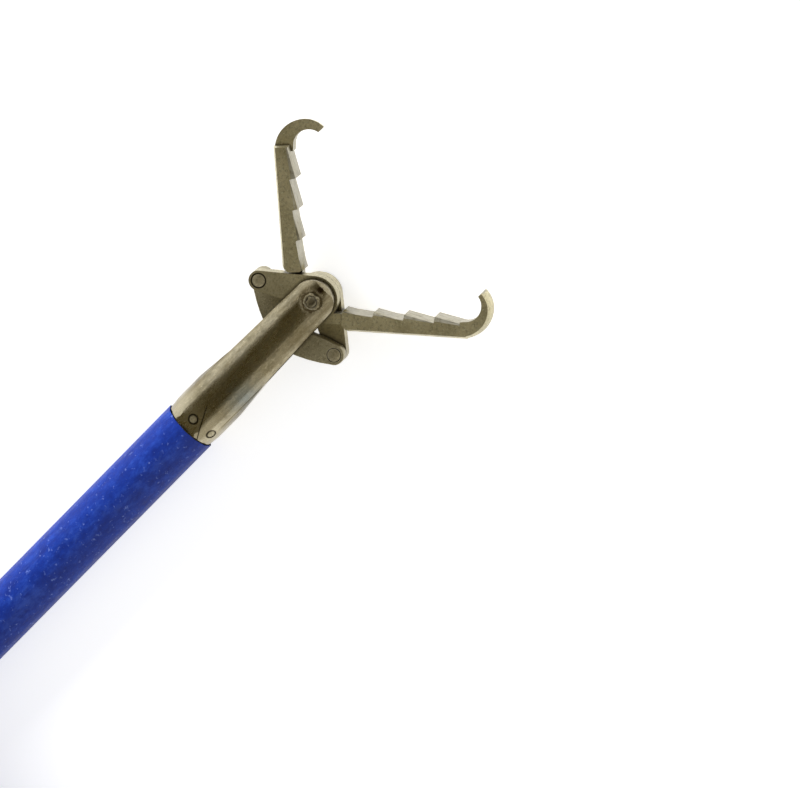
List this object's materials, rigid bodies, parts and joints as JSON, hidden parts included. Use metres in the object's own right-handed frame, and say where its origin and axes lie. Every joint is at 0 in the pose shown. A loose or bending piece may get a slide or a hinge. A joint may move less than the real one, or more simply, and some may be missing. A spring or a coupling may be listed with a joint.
{
  "type": "flexible grasping forceps",
  "caption": "Flexible endoscopic grasping forceps: two crossing toothed jaws with hooked tips on a slotted clevis, worked by links and a pull wire in a coated coil sheath from a spool handle",
  "frame": {"origin": "on the axis of the insertion tube, at the back face of the clevis", "axes": "+X along the tool from the handle towards the jaws, +Z along the pivot of the jaws, and +Y across the tool, so that +X, +Y and +Z are right-handed; the tool lies on the plane z = -1.15 mm"},
  "size_m": [0.2392, 0.0318, 0.012],
  "materials": {
    "stainless_clevis": "brushed, satin",
    "stainless_jaw": "cut faces, satin",
    "stainless_link": "cut faces, grainy",
    "stainless_pins": "satin",
    "stainless_wire": "drawn",
    "blue_sheath": "smooth coating",
    "blue_grip": "moulded",
    "white_barrel": "moulded",
    "dark_rubber": "matt",
    "black_strap": "hook and loop strap",
    "brass_bush": "turned",
    "brass_block": "milled"
  },
  "bodies": {
    "frame": {"clevis": "stainless_clevis", "weld_plugs": "stainless_pins", "pivot_pin": "stainless_pins", "coil_ferrule": "stainless_pins", "spring_coil": "stainless_wire", "sheath_tip_run": "blue_sheath", "sheath_hank": "blue_sheath", "hank_tie": "black_strap", "sheath_handle_run": "blue_sheath", "strain_relief": "dark_rubber", "sheath_ferrule": "stainless_pins", "nose_cap": "blue_grip", "handle_barrel": "white_barrel", "guide_bush": "brass_bush", "thumb_ring": "blue_grip"},
    "slider": {"spool_top": "blue_grip", "spool_bottom": "blue_grip", "wire_clamp_block": "brass_block", "clamp_screw": "stainless_pins", "hypotube": "stainless_wire", "drive_wire_proximal": "stainless_wire"},
    "upper_jaw": {"jaw_upper": "stainless_jaw", "tail_pin_upper": "stainless_pins"},
    "lower_jaw": {"jaw_lower": "stainless_jaw", "tail_pin_lower": "stainless_pins"},
    "lower_link": {"link_lower": "stainless_link"},
    "upper_link": {"link_upper": "stainless_link"},
    "drive": {"drive_rod": "stainless_pins", "drive_pin": "stainless_pins", "drive_wire_distal": "stainless_wire"}
  },
  "joints": [
    {"name": "spool_slide", "type": "slide", "parent": "frame", "child": "slider", "axis": [-1, 0, 0], "range_m": [0, 0.00252]},
    {"name": "upper_jaw_turn", "type": "hinge", "parent": "frame", "child": "upper_jaw", "pos_m": [0.0075, 0, 0], "axis": [0, 0, 1], "range_deg": [0, 52]},
    {"name": "lower_jaw_turn", "type": "hinge", "parent": "frame", "child": "lower_jaw", "pos_m": [0.0075, 0, 0], "axis": [0, 0, 1], "range_deg": [-52, 0]},
    {"name": "lower_link_turn", "type": "hinge", "parent": "upper_jaw", "child": "lower_link", "pos_m": [0.00642, 0.00212, 0], "axis": [0, 0, 1], "range_deg": [-104, 0]},
    {"name": "upper_link_turn", "type": "hinge", "parent": "lower_jaw", "child": "upper_link", "pos_m": [0.00642, -0.00212, 0], "axis": [0, 0, 1], "range_deg": [0, 104]},
    {"name": "drive_turn", "type": "hinge", "parent": "lower_link", "child": "drive", "pos_m": [0.00535, 0, 0], "axis": [0, 0, 1], "range_deg": [0, 52]}
  ],
  "couplings": [
    {"joint": "upper_jaw_turn", "follows": "spool_slide", "rad_per_m": 360.16},
    {"joint": "lower_jaw_turn", "follows": "spool_slide", "rad_per_m": -360.16},
    {"joint": "lower_link_turn", "follows": "spool_slide", "rad_per_m": -720.32},
    {"joint": "upper_link_turn", "follows": "spool_slide", "rad_per_m": 720.32},
    {"joint": "drive_turn", "follows": "spool_slide", "rad_per_m": 360.16}
  ]
}
